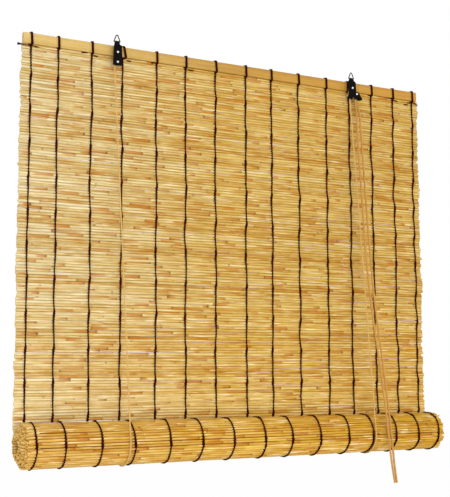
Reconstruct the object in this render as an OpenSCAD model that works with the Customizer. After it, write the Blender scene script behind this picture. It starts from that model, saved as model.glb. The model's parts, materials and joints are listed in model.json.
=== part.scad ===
// Reed roller blind, half rolled up: head batten, woven reed mat and roll,
// two cord hangers with hanging rings, a cord lock, lift cords and pull strands.
// Millimetres. X runs along the batten, +Y points to the wall and +Z is up.
// The origin lies midway between the seats of the two hanging rings.

/* [Mat] */
// Width of the mat and of its battens
blind_w = 900; // [760:10:1200]
// Length of mat between the head batten and the roll
hang_drop = 721; // [640:1:900]
// Thickness of the mat over its reeds
mat_t = 5; // [4.4:0.1:5.6]
// Spacing of the reeds along the mat
reed_pitch = 5.15; // [4.6:0.05:6.5]
// Depth of the hollows between the reeds
ridge_depth = 0.9; // [0.5:0.1:1.3]
// Height of a slit where two reeds stand apart
slit_h = 0.8; // [0.4:0.1:1.2]
// Solid length left between a slit and its warp cord
slit_margin = 6; // [3:0.5:12]
// Rows of slits down the mat
slit_rows = 8; // [4:1:8]

/* [Battens] */
// Height of the head and bottom battens
batten_h = 20; // [18:1:23]
// Thickness of the battens
batten_t = 10; // [9:0.5:13]
// Bevel along the battens' edges
batten_bevel = 1; // [0.4:0.1:2]

/* [Roll] */
// Radius of the outer turn at the middle of the mat
roll_r = 40; // [34:1:52]
// Air between one turn and the next
turn_gap = 0.4; // [0.3:0.05:0.8]

/* [Warp cords] */
// Width of a warp cord
warp_w = 3.2; // [2:0.1:4]
// Thickness of a warp cord
warp_t = 1.2; // [0.8:0.1:1.6]
// Distance from the mat's edge to its outermost warp
warp_inset = 13; // [9:0.5:20]
// Distance from the outermost warp to the next one
warp_edge_gap = 53; // [40:1:60]
// Length of the tied warp end past the left edge's warp
left_tie_len = 24; // [10:1:30]
// Length of the tied warp end past the right edge's warp
right_tie_len = 11; // [6:1:20]

/* [Hangers] */
// Sheet thickness of the folded hangers
sheet_t = 1.2; // [1:0.1:1.6]
// Width of a hanger plate at its shoulder
plate_w = 16; // [15:0.5:18]
// Width of a hanger plate at its foot
plate_foot_w = 19.5; // [18:0.5:21]
// Height of the left hanger plate
plate_h = 41; // [40:0.5:46]
// Height of the right hanger plate, which carries the lock
lock_plate_h = 39.5; // [38:0.5:44]
// Width added on the inner side of the right hanger plate, over its cords
lock_plate_side = 2.5; // [0:0.5:3]
// Width of a hanger's rear strap
strap_w = 8; // [7:0.5:9]
// Rise of the rear strap's foot over the front plate's
strap_rise = 2.5; // [1:0.5:3]
// Width of the folded neck
neck_w = 8; // [6:0.5:8.5]
// Height of the neck, from the batten's top to the ring's bar
neck_h = 6; // [5:0.5:8]
// Gap between the right hanger's strap and the warp loop beside it
hanger_gap = 0.4; // [0.3:0.1:3]
// Drop from the batten's top to the fixing rivets
fixing_drop = 14.8; // [13:0.2:16]
// Rise from the left plate's foot to its pulley's axle
axle_rise = 7; // [6.4:0.2:8]
// Shank diameter of the rivets
rivet_d = 3; // [2.4:0.1:3.4]
// Diameter of the rivet heads
rivet_head_d = 4.6; // [4:0.1:5.4]
// Height of the rivet heads
rivet_head_h = 1.3; // [0.8:0.1:1.6]

/* [Rings] */
// Diameter of the ring wire
wire_d = 2; // [1.6:0.1:2.2]
// Half the length of the ring's base, at its unrounded corners
ring_half = 6.8; // [6.6:0.1:8]
// Half the angle at the ring's apex
ring_half_angle = 22; // [18:1:26]

/* [Pulleys and lock] */
// Radius of the pulley flanges
pulley_r = 5; // [4.8:0.1:5.2]
// Radius of the pulley's groove floor
groove_r = 3; // [2.8:0.1:3.2]
// Thickness of a pulley flange
flange_t = 0.8; // [0.6:0.1:1.2]
// Distance of the lock's pivot from the plate's middle
pivot_x = 11; // [11:0.1:13]
// Drop from the batten's top to the lock's pivot
pivot_drop = 27; // [26:0.5:28.5]
// Length of the lock lever from its pivot to its end
lever_len = 17; // [14:0.5:20]
// Reach of the lever's thumb lobe to its outer side
lobe_w = 6.8; // [5:0.1:8]
// Lean of the lock lever from straight down
lever_lean = 35; // [30:1:45]

/* [Lift cords] */
// Diameter of the lift cords and pull strands
cord_d = 3; // [2.6:0.1:3.2]
// Distance of the lift cord's plane from the hanger's middle
bight_shift = 2; // [1.5:0.1:3]
// Distance of the lift cord's knot from the hanger's middle
knot_shift = 4; // [4:0.1:5]

/* [Hidden] */
$fn = 48;
warp_count = 15;
// Hand weaving lets the warps wander off their even spacing by this much
warp_wander = [2, 1, 3, 3, 8, 7, 9, 14, 10, 12, 17, 8, 7, 1, 1];
left_hanger_warp = 3;
right_hanger_warp = 11;
// Beside a hanger a warp jogs in towards it below the batten
left_jog = -2;
right_jog = 4;
steps_per_reed = 4;
running_play = 0.06;
rivet_play = 0.05;
side_play = 0.3;
soft_gap = 0.4;
seam_gap = 0.3;
bend_r = 1.5;
bent_wire_d = wire_d - 0.06;
apex_bend_r = 2;
plate_corner = 1;
shoulder_drop = 2;
clench_t = 1;
staple_wire_d = 1.2;
staple_depth = 4;
knot_d = 6.4;
cord_hole_d = 4.8;
hub_r = 3.6;
tooth_r = 4.2;
tooth_depth = 0.6;
tooth_step = 12;
tip_r = 1.6;
ear_r = 5;
notch_x = 1.8;
notch_w = 3.2;
notch_h = 5;
ear_rise = 3;

// Places across the width
warp_pitch = (blind_w - 2 * warp_inset - 2 * warp_edge_gap) / (warp_count - 3);
hanger_x = warp_x(right_hanger_warp) + warp_w / 2 + hanger_gap + strap_w / 2;
bight_x = hanger_x - bight_shift;
knot_x = hanger_x + knot_shift;

// Places from front to back
lane_y = cord_d / 2 + 0.1;
groove_w = 2 * lane_y + cord_d + 0.4;
pulley_w = groove_w + 2 * flange_t;
cheek_in = pulley_w / 2 + side_play;
cheek_out = cheek_in + sheet_t;
mat_y = cheek_out + batten_t / 2;
batten_back = mat_y + batten_t / 2;
roll_y = mat_y - roll_r;

// Heights
ring_rise = ring_half / tan(ring_half_angle) - apex_bend_r * (1 / sin(ring_half_angle) - 1)
    - bent_wire_d / 2;
bar_z = -ring_rise;
batten_top = bar_z - neck_h;
batten_bottom = batten_top - batten_h;
roll_z = batten_bottom - hang_drop;
fixing_z = batten_top - fixing_drop;
axle_z = batten_top - plate_h + axle_rise;
pivot_z = batten_top - pivot_drop;

// Roll
turn_pitch = mat_t + turn_gap;
core_corner = [batten_t / 2 - batten_bevel, batten_h / 2];
core_r = norm(core_corner) + seam_gap;
growth = turn_pitch / (2 * PI);
rolled_turns = (roll_r - core_r - mat_t / 2) / turn_pitch;
rolled_len = roll_r * rolled_turns * 2 * PI - growth * pow(rolled_turns * 2 * PI, 2) / 2;
outer_r = roll_r + mat_t / 2;

// Cords
lane_r = groove_r + soft_gap + 0.1 + cord_d / 2;
bight_r = outer_r + warp_t + soft_gap + cord_d / 2;
back_cord_y = batten_back + seam_gap + cord_d / 2;
behind_y = mat_y + mat_t / 2 + warp_t + 2 * soft_gap + cord_d / 2;
pass_x = lane_r + cord_d - 0.1;
left_pass_z = axle_z - 4.2;
right_pass_z = batten_bottom - 11;
staple_z = fixing_z + rivet_head_d / 2 + staple_wire_d + 1.5;

// Pull strands from below the lock to their cut ends, laid over the front of the roll
front_strand_route = [
    [279, -2, -60], [279, -5, -85], [279, -7, -105], [278, -17, -200], [277, -27, -300],
    [276, -37, -400], [278, -47, -490], [283, -56, -570], [288, -64, -640], [292, -70, -700],
    [293, -73, -730], [293, -74, -755], [295, -74, -785], [299, -74, -820], [306, -74, -858]
];
back_strand_route = [
    [283, 1, -60], [287, -5, -85], [288, -7, -105], [288, -17, -200], [287, -27, -300],
    [287, -37, -400], [288, -47, -490], [292, -56, -570], [296, -64, -640], [299, -70, -700],
    [300, -73, -730], [301, -74, -755], [304, -74, -785], [309, -74, -820], [317, -74, -858]
];

function warp_x(i) =
    let (edge = blind_w / 2 - warp_inset)
    (i == 0 ? -edge : i == warp_count - 1 ? edge : (i - (warp_count - 1) / 2) * warp_pitch)
    + warp_wander[i];
function warp_jog(i) = i == left_hanger_warp ? left_jog : i == right_hanger_warp ? right_jog : 0;
function hang_x(i) = warp_x(i) + warp_jog(i);

function warp_name(i) = str("warp_cord_", i < 9 ? "0" : "", i + 1);

// Half the mat's thickness at a share u of the way across one reed
function reed_half(u) = mat_t / 2 - ridge_depth * pow(2 * u - 1, 2);
function reed_share(k) = (k % steps_per_reed) / steps_per_reed;

// Turned angle of the roll's spiral, in degrees, at a length along the mat
function spiral_angle(s) =
    (roll_r - sqrt(roll_r * roll_r - 2 * growth * s)) / growth * 180 / PI;
function spiral_r(angle) = roll_r - turn_pitch * angle / 360;
function spiral_point(angle, r) = [roll_y + r * cos(angle), roll_z - r * sin(angle)];

// Angle where a straight cord from a point meets the bight's circle, side 1 in front and -1 behind
function tangent_angle(y, z, side) =
    let (dy = y - roll_y, dz = z - roll_z)
    atan2(dz, dy) + side * acos(bight_r / norm([dy, dz]));
function bight_point(angle) = [roll_y + bight_r * cos(angle), roll_z + bight_r * sin(angle)];

// Smooth curve through hand-chosen points
function curve_point(a, b, c, d, u) =
    0.5 * (2 * b + (c - a) * u + (2 * a - 5 * b + 4 * c - d) * u * u
        + (3 * b - a - 3 * c + d) * u * u * u);
function smoothed(p, n) = concat(
    [for (i = [0 : len(p) - 2], k = [0 : n - 1])
        curve_point(p[max(i - 1, 0)], p[i], p[i + 1], p[min(i + 2, len(p) - 1)], k / n)],
    [p[len(p) - 1]]
);

// Directions carried along a route without twist, for sweeping a cord
function unit(v) = v / norm(v);
function heading(p, i) = unit(p[min(i + 1, len(p) - 1)] - p[max(i - 1, 0)]);
function carried(n, t) = unit(n - (n * t) * t);
function frames(p, n, i = 0) =
    i == len(p) ? [] :
    let (t = heading(p, i), m = carried(n, t))
    concat([[m, cross(t, m)]], frames(p, m, i + 1));

// Points over a pulley in the plane y, from its left side over its top to its right side
function over_pulley(x, y, z) =
    [for (a = [180 : -22.5 : 0]) [x + lane_r * cos(a), y, z + lane_r * sin(a)]];

// Round stock swept along a route
module swept(p, d, sides) {
    f = frames(p, abs(heading(p, 0).x) < 0.9 ? [1, 0, 0] : [0, 1, 0]);
    rings = len(p);
    points = [for (i = [0 : rings - 1], k = [0 : sides - 1])
        p[i] + d / 2 * (cos(k * 360 / sides) * f[i][0] + sin(k * 360 / sides) * f[i][1])];
    walls = [for (i = [0 : rings - 2], k = [0 : sides - 1])
        let (n = (k + 1) % sides)
        [i * sides + k, (i + 1) * sides + k, (i + 1) * sides + n, i * sides + n]];
    start = [for (k = [0 : sides - 1]) k];
    end = [for (k = [sides - 1 : -1 : 0]) (rings - 1) * sides + k];
    polyhedron(points, concat([start], walls, [end]), convexity = 6);
}

module cord_along(p) {
    swept(p, cord_d, 8);
}

// Profile drawn in Y and Z, drawn out along X about a middle
module across(x, w) {
    translate([x, 0, 0]) rotate([90, 0, 90]) linear_extrude(w, center = true) children();
}

// Outline drawn in X and Z, drawn out towards the wall from a start
module plate(x, y, t) {
    translate([x, y + t, 0]) rotate([90, 0, 0]) linear_extrude(t) children();
}

// Round bar along Y between two places
module bar_y(x, z, y0, y1, d) {
    translate([x, y0, z]) rotate([-90, 0, 0]) cylinder(h = y1 - y0, d = d);
}

// Section of a batten about its own middle
module batten_section() {
    w = batten_t / 2;
    h = batten_h / 2;
    b = batten_bevel;
    polygon([[-w + b, -h], [w - b, -h], [w, -h + b], [w, h - b],
             [w - b, h], [-w + b, h], [-w, h - b], [-w, -h + b]]);
}

module head_batten() {
    color("burlywood") difference() {
        across(0, blind_w) translate([mat_y, batten_top - batten_h / 2]) batten_section();
        for (side = [-1, 1]) {
            bar_y(side * hanger_x, fixing_z, mat_y - batten_t, mat_y + batten_t, rivet_d + 2 * rivet_play);
            for (leg = [-1, 1])
                bar_y(side * knot_x + leg * staple_leg(), staple_z, batten_back - staple_depth - seam_gap,
                    batten_back + 1, staple_wire_d + 2 * rivet_play);
        }
    }
}

// Scalloped wall of reeds with slits where neighbouring reeds stand apart
module reed_mat() {
    rows = round(hang_drop / reed_pitch);
    row_h = (hang_drop - seam_gap) / rows;
    last = rows * steps_per_reed;
    row_step = floor(rows / slit_rows);
    function side_point(k, side) =
        [mat_y + side * reed_half(reed_share(k)), batten_bottom - k * row_h / steps_per_reed];
    color("wheat") difference() {
        across(0, blind_w) polygon(concat(
            [for (k = [0 : last]) side_point(k, -1)],
            [for (k = [last : -1 : 0]) side_point(k, 1)]
        ));
        for (bay = [0 : warp_count - 2], k = [0 : slit_rows - 1]) {
            from = hang_x(bay) + warp_w / 2 + slit_margin;
            to = hang_x(bay + 1) - warp_w / 2 - slit_margin;
            row = 4 + k * row_step + (bay * 5) % (row_step - 4);
            translate([from, mat_y - mat_t, batten_bottom - row * row_h - slit_h / 2])
                cube([to - from, 2 * mat_t, slit_h]);
        }
        bar_y(-hanger_x + pass_x, left_pass_z, mat_y - mat_t, mat_y + mat_t, cord_hole_d);
        bar_y(hanger_x - pass_x, right_pass_z, mat_y - mat_t, mat_y + mat_t, cord_hole_d);
    }
}

// Section of a warp about the mat: down its front, looped over the batten and down its back
module warp_section() {
    side = batten_t / 2;
    face = mat_t / 2;
    step = side - face;
    lean = warp_t * tan(22.5);
    inner_top = batten_top + running_play;
    bottom_front = roll_z + 0.4 * roll_r;
    bottom_back = roll_z + seam_gap;
    function outer(s, foot) = [
        [s * (face + warp_t), foot], [s * (face + warp_t), batten_bottom - step - lean],
        [s * (side + running_play + warp_t), batten_bottom - lean],
        [s * (side + running_play + warp_t), inner_top + warp_t - batten_bevel],
        [s * (side + running_play + warp_t - batten_bevel), inner_top + warp_t]
    ];
    function inner(s, foot) = [
        [s * face, foot], [s * face, batten_bottom - step],
        [s * (side + running_play), batten_bottom], [s * (side + running_play), inner_top]
    ];
    function reversed(p) = [for (k = [len(p) - 1 : -1 : 0]) p[k]];
    translate([mat_y, 0]) polygon(concat(
        outer(-1, bottom_front), reversed(outer(1, bottom_back)),
        inner(1, bottom_back), reversed(inner(-1, bottom_front))
    ));
}

// Stretch of a warp between two heights
module warp_stretch(x, w, low, high) {
    intersection() {
        across(x, w) warp_section();
        translate([x - w, mat_y - batten_t, low]) cube([2 * w, 2 * batten_t, high - low]);
    }
}

// Twined warp, with a jog below the batten where it stands beside a hanger
module warp_cord(i) {
    jog = warp_jog(i);
    jog_top = batten_bottom - (batten_t - mat_t) / 2 - warp_t;
    color("#2a1a12")
        if (jog == 0)
            across(warp_x(i), warp_w) warp_section();
        else {
            warp_stretch(warp_x(i), warp_w, jog_top - warp_w, 0);
            warp_stretch(warp_x(i) + jog / 2, warp_w + abs(jog), jog_top - warp_w, jog_top);
            warp_stretch(hang_x(i), warp_w, roll_z, jog_top);
        }
}

// Tied ends of the outermost warps, standing out past the mat's edges
module tie_ends() {
    drop = (batten_t - mat_t) / 2 + warp_t;
    color("#1c120c") for (i = [0, warp_count - 1]) {
        out = sign(warp_x(i));
        reach = out < 0 ? left_tie_len : right_tie_len;
        translate([warp_x(i) + out * warp_w / 2, mat_y - mat_t / 2 - warp_t / 2, batten_bottom - drop])
            rotate([0, out * 90, 0]) cylinder(h = reach, d = warp_t);
    }
}

// Round-headed rivet along Y, with a flat clench at its far end
module rivet(x, z, back) {
    dome_r = (pow(rivet_head_d / 2, 2) + pow(rivet_head_h, 2)) / (2 * rivet_head_h);
    color("gainsboro") {
        bar_y(x, z, -cheek_out, back + clench_t, rivet_d);
        bar_y(x, z, back, back + clench_t, rivet_head_d);
        intersection() {
            translate([x, -cheek_out - rivet_head_h + dome_r, z]) sphere(dome_r);
            bar_y(x, z, -cheek_out - rivet_head_h - 1, -cheek_out, rivet_head_d + 1);
        }
    }
}

// Neck of a hanger: both cheeks run up and close round the ring's bar
module neck(x) {
    bore = wire_d / 2 + running_play;
    across(x, neck_w) difference() {
        union() {
            translate([0, bar_z]) circle(bore + sheet_t);
            for (s = [-1, 1])
                polygon([[s * cheek_in, batten_top], [s * cheek_out, batten_top],
                         [s * (bore + sheet_t), bar_z], [s * bore, bar_z]]);
        }
        translate([0, bar_z]) circle(bore);
    }
}

// Outline of a hanger's front plate about its middle
module plate_outline(height, side) {
    foot = batten_top - height;
    left_top = plate_w / 2 + side;
    left_foot = max(left_top, plate_foot_w / 2);
    polygon([
        [-neck_w / 2, batten_top], [neck_w / 2, batten_top],
        [plate_w / 2, batten_top - shoulder_drop], [plate_foot_w / 2, foot + plate_corner],
        [plate_foot_w / 2 - plate_corner, foot], [-left_foot + plate_corner, foot],
        [-left_foot, foot + plate_corner], [-left_top, batten_top - shoulder_drop]
    ]);
}

module rivet_hole(x, z) {
    translate([x, z]) circle(d = rivet_d + 2 * rivet_play);
}

// Outline of a hanger's rear strap
module strap_outline(height) {
    foot = batten_top - height + strap_rise;
    half = strap_w / 2;
    polygon([
        [-half, batten_top], [half, batten_top], [half, foot + plate_corner], [half - plate_corner, foot],
        [-half + plate_corner, foot], [-half, foot + plate_corner]
    ]);
}

// Cheek of the left hanger, with holes for the fixing rivet and the pulley's axle
module left_cheek() {
    difference() {
        children();
        rivet_hole(0, fixing_z);
        rivet_hole(0, axle_z);
    }
}

// Cheek of the right hanger, with an ear that carries the lock's pivot
module right_cheek() {
    difference() {
        union() {
            children();
            translate([0, pivot_z - ear_r]) square([pivot_x, 2 * ear_r]);
            translate([pivot_x, pivot_z]) circle(ear_r);
        }
        rivet_hole(0, fixing_z);
        rivet_hole(pivot_x, pivot_z);
    }
}

module left_hanger() {
    color("#1d1a18") {
        plate(-hanger_x, -cheek_out, sheet_t) left_cheek() plate_outline(plate_h, 0);
        plate(-hanger_x, cheek_in, sheet_t) left_cheek() strap_outline(plate_h);
        neck(-hanger_x);
    }
}

module right_hanger() {
    foot = batten_top - lock_plate_h;
    color("#1d1a18") {
        plate(hanger_x, -cheek_out, sheet_t) difference() {
            right_cheek() {
                plate_outline(lock_plate_h, lock_plate_side);
                polygon([[0, pivot_z], [pivot_x + ear_r * 0.8, pivot_z - ear_r * 0.6],
                         [pivot_x + 1, foot + ear_rise], [0, foot + ear_rise]]);
            }
            translate([notch_x - notch_w / 2, foot - 1]) square([notch_w, notch_h + 1]);
        }
        plate(hanger_x, cheek_in, sheet_t) right_cheek() strap_outline(lock_plate_h);
        neck(hanger_x);
    }
}

module left_fixing_rivet() {
    rivet(-hanger_x, fixing_z, batten_back);
}

module left_axle_rivet() {
    rivet(-hanger_x, axle_z, cheek_out);
}

module right_fixing_rivet() {
    rivet(hanger_x, fixing_z, batten_back);
}

module lock_pivot_rivet() {
    rivet(hanger_x + pivot_x, pivot_z, cheek_out);
}

function staple_leg() = cord_d / 2 + staple_wire_d / 2 + 0.2;

// Wire staples behind the batten that hold the knotted ends of the lift cords
module cord_staples() {
    crown_y = back_cord_y + cord_d / 2 + 0.2 + staple_wire_d / 2;
    reach = staple_leg();
    color("dimgray") for (side = [-1, 1], leg = [-1, 1]) {
        bar_y(side * knot_x + leg * reach, staple_z, batten_back - staple_depth,
            crown_y - staple_wire_d / 2, staple_wire_d);
        if (leg == 1)
            translate([side * knot_x - reach - staple_wire_d / 2, crown_y - staple_wire_d / 2,
                       staple_z - staple_wire_d / 2])
                cube([2 * reach + staple_wire_d, staple_wire_d, staple_wire_d]);
    }
}

// Points on an arc in X and Z
function arc_points(x, z, r, from, to, n) =
    [for (k = [0 : n]) let (a = from + (to - from) * k / n) [x + r * cos(a), 0, z + r * sin(a)]];

// Three-sided hanging ring: a straight bar in the hanger's neck and a wire bent over it
module hanging_ring(x) {
    lean = ring_half_angle;
    bar_half = ring_half - bend_r * tan(45 + lean / 2);
    apex_z = bar_z + ring_half / tan(lean) - apex_bend_r / sin(lean);
    sunk = 0.4;
    color("#1d1a18") translate([x, 0, 0]) {
        translate([-bar_half, 0, bar_z]) rotate([0, 90, 0]) cylinder(h = 2 * bar_half, d = wire_d);
        swept(concat(
            [[bar_half - sunk, 0, bar_z]],
            arc_points(bar_half, bar_z + bend_r, bend_r, -90, lean, 6),
            arc_points(0, apex_z, apex_bend_r, lean, 180 - lean, 8),
            arc_points(-bar_half, bar_z + bend_r, bend_r, 180 - lean, 270, 6),
            [[-bar_half + sunk, 0, bar_z]]
        ), bent_wire_d, 12);
    }
}

module left_ring() {
    hanging_ring(-hanger_x);
}

module right_ring() {
    hanging_ring(hanger_x);
}

// Flanged pulley, wide enough for two cords side by side
module pulley(x, z) {
    w = pulley_w / 2;
    g = groove_w / 2;
    bore = rivet_d / 2 + running_play;
    color("darkgray") translate([x, 0, z]) rotate([-90, 0, 0]) rotate_extrude()
        polygon([[bore, -w], [pulley_r, -w], [pulley_r, -g], [groove_r, -g],
                 [groove_r, g], [pulley_r, g], [pulley_r, w], [bore, w]]);
}

module left_pulley() {
    pulley(-hanger_x, axle_z);
}

module right_pulley() {
    pulley(hanger_x, fixing_z);
}

// Cam lever of the cord lock: teeth towards the cords and a thumb lobe that leans out
module lock_lever() {
    shoulder = 1.2;
    outer = [lever_len - tip_r, lobe_w - tip_r];
    inner = [lever_len - tip_r - 1, tip_r + 0.5];
    teeth = [for (a = [176 : tooth_step / 2 : 236])
        (tooth_r - ((a - 176) % tooth_step == 0 ? 0 : tooth_depth)) * [cos(a), sin(a)]];
    color("#24211f") translate([hanger_x + pivot_x, 0, pivot_z])
        plate(0, -cheek_in + side_play, 2 * (cheek_in - side_play)) difference() {
            union() {
                circle(hub_r);
                polygon(concat([[0, 0]], teeth));
                rotate(lever_lean - 90) {
                    polygon([
                        [-hub_r * 0.6, hub_r * 0.8], [-hub_r * 0.6, lobe_w - shoulder],
                        [-hub_r * 0.6 + shoulder, lobe_w], [outer.x, lobe_w],
                        [lever_len, outer.y], [lever_len - 1, inner.y],
                        [inner.x, inner.y - tip_r], [hub_r * 0.8, -hub_r * 0.6]
                    ]);
                    translate(outer) circle(tip_r);
                    translate(inner) circle(tip_r);
                }
            }
            circle(d = rivet_d + 2 * running_play);
        }
}

// Lift cord in front: from the pulley's left side down to the front of the roll
module lift_front(x_top, y_top, z_top, x_foot) {
    meet = bight_point(tangent_angle(y_top, z_top, 1));
    top = [x_top, y_top, z_top - seam_gap];
    foot = [x_foot, meet.x, meet.y + seam_gap];
    rings = 12;
    color("tan") cord_along([for (k = [0 : rings]) top + (foot - top) * k / rings]);
}

module left_lift_front() {
    lift_front(-hanger_x - lane_r, 0, axle_z, -bight_x);
}

module right_lift_front() {
    lift_front(hanger_x - lane_r, lane_y, fixing_z, bight_x);
}

// Turn of the right lift cord over its pulley, beside the cross cord
module right_lift_turn() {
    color("tan") cord_along(over_pulley(hanger_x, lane_y, fixing_z));
}

// Lift cord behind: from its knot above the staple down to the back of the roll
module lift_back(side) {
    meet = bight_point(tangent_angle(back_cord_y, staple_z, -1));
    top = [side * knot_x, back_cord_y, staple_z + knot_d / 2];
    foot = [side * bight_x, meet.x, meet.y + seam_gap];
    run = foot - top;
    color("tan") {
        translate(top) rotate([0, acos(run.z / norm(run)), atan2(run.y, run.x)])
            cylinder(h = norm(run), d = cord_d);
        translate([top.x, batten_back + seam_gap + knot_d / 2, staple_z + staple_wire_d + knot_d / 2])
            sphere(d = knot_d);
    }
}

module left_lift_back() {
    lift_back(-1);
}

module right_lift_back() {
    lift_back(1);
}

// Bight of a lift cord: from behind the roll, under it and up its front
module lift_bight(x, y_top, z_top) {
    from = tangent_angle(y_top, z_top, 1);
    to = 360 + tangent_angle(back_cord_y, staple_z, -1);
    color("tan") translate([x, roll_y, roll_z]) rotate([90, 0, 90]) rotate(from)
        rotate_extrude(angle = to - from) translate([bight_r, 0]) circle(d = cord_d);
}

module left_lift_bight() {
    lift_bight(-bight_x, 0, axle_z);
}

module right_lift_bight() {
    lift_bight(bight_x, lane_y, fixing_z);
}

// The left lift cord goes over its pulley, through the mat, along its back and up over the right pulley
module cross_cord() {
    lx = -hanger_x + pass_x;
    rx = hanger_x - pass_x;
    color("tan") cord_along(concat(
        over_pulley(-hanger_x, 0, axle_z),
        [[lx - 1.4, 0.6, axle_z - 2], [lx - 0.4, 2.4, left_pass_z + 0.8], [lx, 5, left_pass_z]],
        [[lx, mat_y, left_pass_z], [lx + 1, behind_y - 2.4, left_pass_z], [lx + 4, behind_y, left_pass_z]],
        [[lx + 12, behind_y, left_pass_z], [0, behind_y, (left_pass_z + right_pass_z) / 2]],
        [[rx - 12, behind_y, right_pass_z], [rx - 4, behind_y, right_pass_z]],
        [[rx - 1, behind_y - 2.4, right_pass_z], [rx, mat_y, right_pass_z], [rx, 5, right_pass_z]],
        [[rx, 2, right_pass_z + 1.6], [rx, -0.6, right_pass_z + 5], [rx + 0.4, -lane_y, right_pass_z + 9]],
        over_pulley(hanger_x, -lane_y, fixing_z)
    ));
}

// Pull strand from the right pulley's right side, past the lock and down over the roll
module pull_strand(y, route) {
    x = hanger_x + lane_r;
    color("#c98f52") cord_along(smoothed(concat(
        [[x, y, fixing_z - seam_gap], [x, y, fixing_z - 8], [x + 0.1, y, pivot_z - 4]], route), 4));
}

module front_pull_strand() {
    pull_strand(-lane_y, front_strand_route);
}

module back_pull_strand() {
    pull_strand(lane_y, back_strand_route);
}

// Rolled-up length of the mat: one ridged sheet in a spiral
module reed_roll() {
    reeds = round(rolled_len / reed_pitch);
    last = reeds * steps_per_reed;
    function point(k, side) =
        let (angle = spiral_angle(rolled_len * k / last))
        spiral_point(angle, spiral_r(angle) + side * reed_half(reed_share(k)));
    color("goldenrod") across(0, blind_w) polygon(concat(
        [for (k = [0 : last]) point(k, 1)],
        [for (k = [last : -1 : 0]) point(k, -1)]
    ));
}

// The mat's last reed lies on one corner of the batten that it is rolled round
module bottom_batten() {
    last_reed = spiral_angle(rolled_len - reed_pitch / 2);
    turn = -last_reed - atan2(core_corner.y, core_corner.x);
    color("burlywood") across(0, blind_w) translate([roll_y, roll_z]) rotate(turn) batten_section();
}

// Warp cords round the outer turn of the roll
module roll_warps() {
    from = 4;
    to = 328;
    step = 4.5;
    lift = mat_t / 2 + rivet_play;
    color("#2a1a12") for (i = [0 : warp_count - 1])
        across(hang_x(i), warp_w) polygon(concat(
            [for (a = [from : step : to]) spiral_point(a, spiral_r(a) + lift + warp_t)],
            [for (a = [to : -step : from]) spiral_point(a, spiral_r(a) + lift)]
        ));
}

head_batten();
reed_mat();
for (i = [0 : warp_count - 1])
    warp_cord(i);
tie_ends();
left_hanger();
right_hanger();
left_fixing_rivet();
left_axle_rivet();
right_fixing_rivet();
lock_pivot_rivet();
cord_staples();
left_ring();
right_ring();
left_pulley();
right_pulley();
lock_lever();
left_lift_front();
right_lift_front();
right_lift_turn();
left_lift_back();
right_lift_back();
left_lift_bight();
right_lift_bight();
cross_cord();
front_pull_strand();
back_pull_strand();
reed_roll();
bottom_batten();
roll_warps();
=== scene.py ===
"""Looks of a reed roller blind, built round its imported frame.

Metres, +Z up. The blind's face looks towards -Y and X runs along its head batten.
"""

import json
import math
import random

import bpy
from mathutils import Matrix, Vector, noise


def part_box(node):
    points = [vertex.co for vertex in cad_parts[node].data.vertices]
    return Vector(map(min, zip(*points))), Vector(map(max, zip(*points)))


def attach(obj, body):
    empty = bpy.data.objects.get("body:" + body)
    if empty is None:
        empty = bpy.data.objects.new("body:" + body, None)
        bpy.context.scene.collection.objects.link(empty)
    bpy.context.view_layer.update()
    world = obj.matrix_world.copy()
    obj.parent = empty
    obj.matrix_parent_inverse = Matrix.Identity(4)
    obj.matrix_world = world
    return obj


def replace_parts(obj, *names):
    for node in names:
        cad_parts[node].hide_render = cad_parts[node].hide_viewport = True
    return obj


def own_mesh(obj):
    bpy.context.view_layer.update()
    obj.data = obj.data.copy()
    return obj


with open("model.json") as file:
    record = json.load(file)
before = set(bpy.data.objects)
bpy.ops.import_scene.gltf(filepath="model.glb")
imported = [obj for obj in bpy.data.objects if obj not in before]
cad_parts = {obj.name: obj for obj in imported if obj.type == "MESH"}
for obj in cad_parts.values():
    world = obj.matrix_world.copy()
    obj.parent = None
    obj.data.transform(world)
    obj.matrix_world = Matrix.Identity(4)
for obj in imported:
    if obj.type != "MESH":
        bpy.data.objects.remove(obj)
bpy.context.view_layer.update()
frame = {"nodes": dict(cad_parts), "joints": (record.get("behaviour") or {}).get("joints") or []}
JOINTS = {joint["name"]: joint for joint in frame["joints"]}
MM = 0.001
X_AXIS = Vector((1, 0, 0))
Y_AXIS = Vector((0, 1, 0))
Z_AXIS = Vector((0, 0, 1))

# Places taken from the frame
MAT_LOW, MAT_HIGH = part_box("reed_mat")
BATTEN_LOW, BATTEN_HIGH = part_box("head_batten")
LEFT_PULLEY = Vector(JOINTS["left_pulley_spin"]["pos_m"])
RIGHT_PULLEY = Vector(JOINTS["right_pulley_spin"]["pos_m"])
LOCK_PIVOT = Vector(JOINTS["lock_swing"]["pos_m"])
ROLL_AXIS = Vector(JOINTS["roll_turn"]["pos_m"])
MAT_Y = (MAT_LOW.y + MAT_HIGH.y) / 2
MAT_HALF = (MAT_HIGH.y - MAT_LOW.y) / 2
ROLL_R = MAT_Y - ROLL_AXIS.y

# Reeds
REED_PITCH = 5.15 * MM
REED_SIDES = 8
REED_OVERHANG = 3 * MM
TURN_PITCH = 5.4 * MM
BATTEN_BEVEL = 1 * MM
SEAM_GAP = 0.3 * MM
ROWS = round((MAT_HIGH.z - MAT_LOW.z) / REED_PITCH)
ROW_H = (MAT_HIGH.z - MAT_LOW.z) / ROWS
# Rows next to the batten and the roll over which unevenness fades out
CALM_ROWS = 5
SPLIT_SHARE = 0.14
PLAIN_STATIONS = 20
STATION_GAP = 15 * MM
# Strength of the painted shade in the seams where neighbouring reeds meet, at a reed's left and right ends
MAT_SEAM_SHADE = (0.13, 0.30)
ROLL_SEAM_SHADE = (0.8, 0.8)
STUB_SEAM_SHADE = (0.1, 0.1)
# Cream colour of the painted highlight streaks along the reeds
PAINTED_HIGHLIGHT = (0.86, 0.71, 0.42, 1)
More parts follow.
